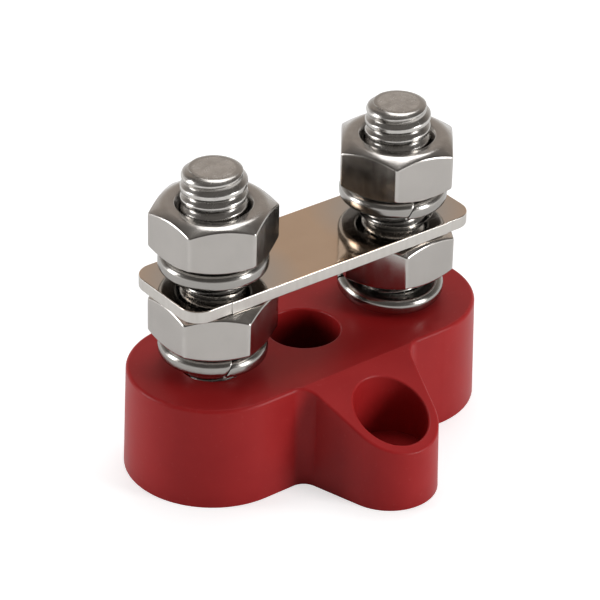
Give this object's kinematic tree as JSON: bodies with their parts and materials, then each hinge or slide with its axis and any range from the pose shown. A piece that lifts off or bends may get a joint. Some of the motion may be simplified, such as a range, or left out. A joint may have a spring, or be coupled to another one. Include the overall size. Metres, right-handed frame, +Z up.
{
  "type": "bus bar",
  "caption": "Insulated stud bus bar: red moulded base with a screw ear, upright threaded studs, hexagon nuts, split washers and a flat link bar.",
  "frame": {"origin": "centre of the screw hole between the studs, at the base's underside", "axes": "+Z up along the studs, +X through both studs from stud a to stud b, -Y to the screw ear"},
  "size_m": [0.0618, 0.0423, 0.0508],
  "materials": {
    "moulded_body": "semi-gloss",
    "stud_steel": "plated",
    "nut_steel": "plated, worn corners",
    "washer_steel": "plated",
    "bar_metal": "polished faces, sheared edges"
  },
  "bodies": {
    "base": {"base": "moulded_body", "stud_a": "stud_steel", "stud_b": "stud_steel"},
    "link": {"link_bar": "bar_metal", "lower_washer_a": "washer_steel", "lower_washer_b": "washer_steel"},
    "lower_nut_a": {"lower_nut_a": "nut_steel"},
    "lower_nut_b": {"lower_nut_b": "nut_steel"},
    "upper_washer_a": {"upper_washer_a": "washer_steel"},
    "upper_washer_b": {"upper_washer_b": "washer_steel"},
    "upper_nut_a": {"upper_nut_a": "nut_steel"},
    "upper_nut_b": {"upper_nut_b": "nut_steel"}
  },
  "joints": [
    {"name": "upper_washer_a_rise", "type": "slide", "parent": "base", "child": "upper_washer_a", "axis": [0, 0, 1], "range_m": [-0.00194, 0.01786]},
    {"name": "upper_nut_a_turn", "type": "hinge", "parent": "upper_washer_a", "child": "upper_nut_a", "pos_m": [-0.0174, 0, 0.04115], "axis": [0, 0, 1], "range_deg": [-365, 3382]},
    {"name": "upper_washer_b_rise", "type": "slide", "parent": "base", "child": "upper_washer_b", "axis": [0, 0, 1], "range_m": [-0.00194, 0.01786]},
    {"name": "upper_nut_b_turn", "type": "hinge", "parent": "upper_washer_b", "child": "upper_nut_b", "pos_m": [0.0174, 0, 0.04145], "axis": [0, 0, 1], "range_deg": [-365, 3382]},
    {"name": "link_lift", "type": "slide", "parent": "base", "child": "link", "axis": [0, 0, 1], "range_m": [-0.00046, 0]},
    {"name": "lower_nut_a_turn", "type": "hinge", "parent": "link", "child": "lower_nut_a", "pos_m": [-0.0174, 0, 0.0262], "axis": [0, 0, 1], "range_deg": [-78, 0]},
    {"name": "lower_nut_b_turn", "type": "hinge", "parent": "link", "child": "lower_nut_b", "pos_m": [0.0174, 0, 0.0262], "axis": [0, 0, 1], "range_deg": [-78, 0]}
  ],
  "couplings": [
    {"joint": "upper_washer_a_rise", "follows": "upper_nut_a_turn", "m_per_rad": 0.00030239},
    {"joint": "upper_washer_b_rise", "follows": "upper_nut_b_turn", "m_per_rad": 0.00030239},
    {"joint": "link_lift", "follows": "lower_nut_a_turn", "m_per_rad": 0.00030239},
    {"joint": "lower_nut_b_turn", "follows": "lower_nut_a_turn", "ratio": 1}
  ]
}
